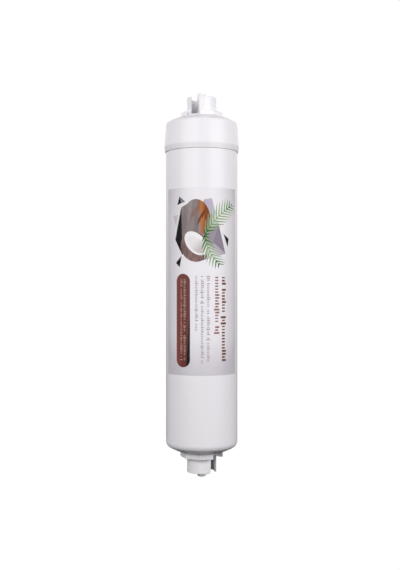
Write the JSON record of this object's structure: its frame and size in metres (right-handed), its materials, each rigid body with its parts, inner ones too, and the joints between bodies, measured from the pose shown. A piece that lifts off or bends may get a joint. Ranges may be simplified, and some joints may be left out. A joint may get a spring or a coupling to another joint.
{
  "type": "inline water filter",
  "caption": "Cylindrical inline carbon water filter with domed ends, a wrap label and, at each end, an octagonal screw-in fitting that holds a tube stem inside a slotted shroud.",
  "frame": {"origin": "middle of the filter, on its long axis and halfway between the two stem tips", "axes": "+Z along the axis towards the inlet end, where the welded cap is; -Y is the side that the label faces"},
  "size_m": [0.0531, 0.053, 0.2722],
  "materials": {
    "shell_plastic": "glossy white moulded polypropylene, faintly lilac",
    "fitting_plastic": "glossy white moulded polypropylene",
    "stem_plastic": "semi-gloss white tube, slightly translucent",
    "label_film": "printed polypropylene film, satin",
    "seal_rubber": "black nitrile rubber",
    "plate_plastic": "natural white polypropylene",
    "screen_nylon": "moulded white mesh",
    "felt": "white needled polyester felt",
    "foam": "open-cell foam",
    "carbon_granules": "packed black granular carbon"
  },
  "bodies": {
    "shell": {"housing_tube": "shell_plastic", "end_cap": "shell_plastic", "label": "label_film", "inlet_diffuser": "plate_plastic", "inlet_screen": "screen_nylon", "inlet_felt_pad": "felt", "expansion_foam": "foam", "carbon_bed": "carbon_granules", "outlet_felt_pad": "felt", "polishing_pad": "felt", "outlet_screen": "screen_nylon", "outlet_collector": "plate_plastic"},
    "inlet_seal": {"inlet_fitting_seal": "seal_rubber"},
    "inlet_port": {"inlet_fitting": "fitting_plastic", "inlet_stem": "stem_plastic", "inlet_stem_seal": "seal_rubber"},
    "outlet_seal": {"outlet_fitting_seal": "seal_rubber"},
    "outlet_port": {"outlet_fitting": "fitting_plastic", "outlet_stem": "stem_plastic", "outlet_stem_seal": "seal_rubber"}
  },
  "joints": [
    {"name": "inlet_fitting_lift", "type": "slide", "parent": "shell", "child": "inlet_seal", "axis": [0, 0, 1], "range_m": [0, 0.00848]},
    {"name": "inlet_fitting_turn", "type": "hinge", "parent": "inlet_seal", "child": "inlet_port", "pos_m": [0, 0, 0.11865], "axis": [0, 0, 1], "range_deg": [0, 2160]},
    {"name": "outlet_fitting_lift", "type": "slide", "parent": "shell", "child": "outlet_seal", "axis": [0, 0, -1], "range_m": [0, 0.00848]},
    {"name": "outlet_fitting_turn", "type": "hinge", "parent": "outlet_seal", "child": "outlet_port", "pos_m": [0, 0, -0.11865], "axis": [0, 0, -1], "range_deg": [0, 2160]}
  ],
  "couplings": [
    {"joint": "inlet_fitting_lift", "follows": "inlet_fitting_turn", "m_per_rad": 0.00022459},
    {"joint": "outlet_fitting_lift", "follows": "outlet_fitting_turn", "m_per_rad": 0.00022459}
  ]
}
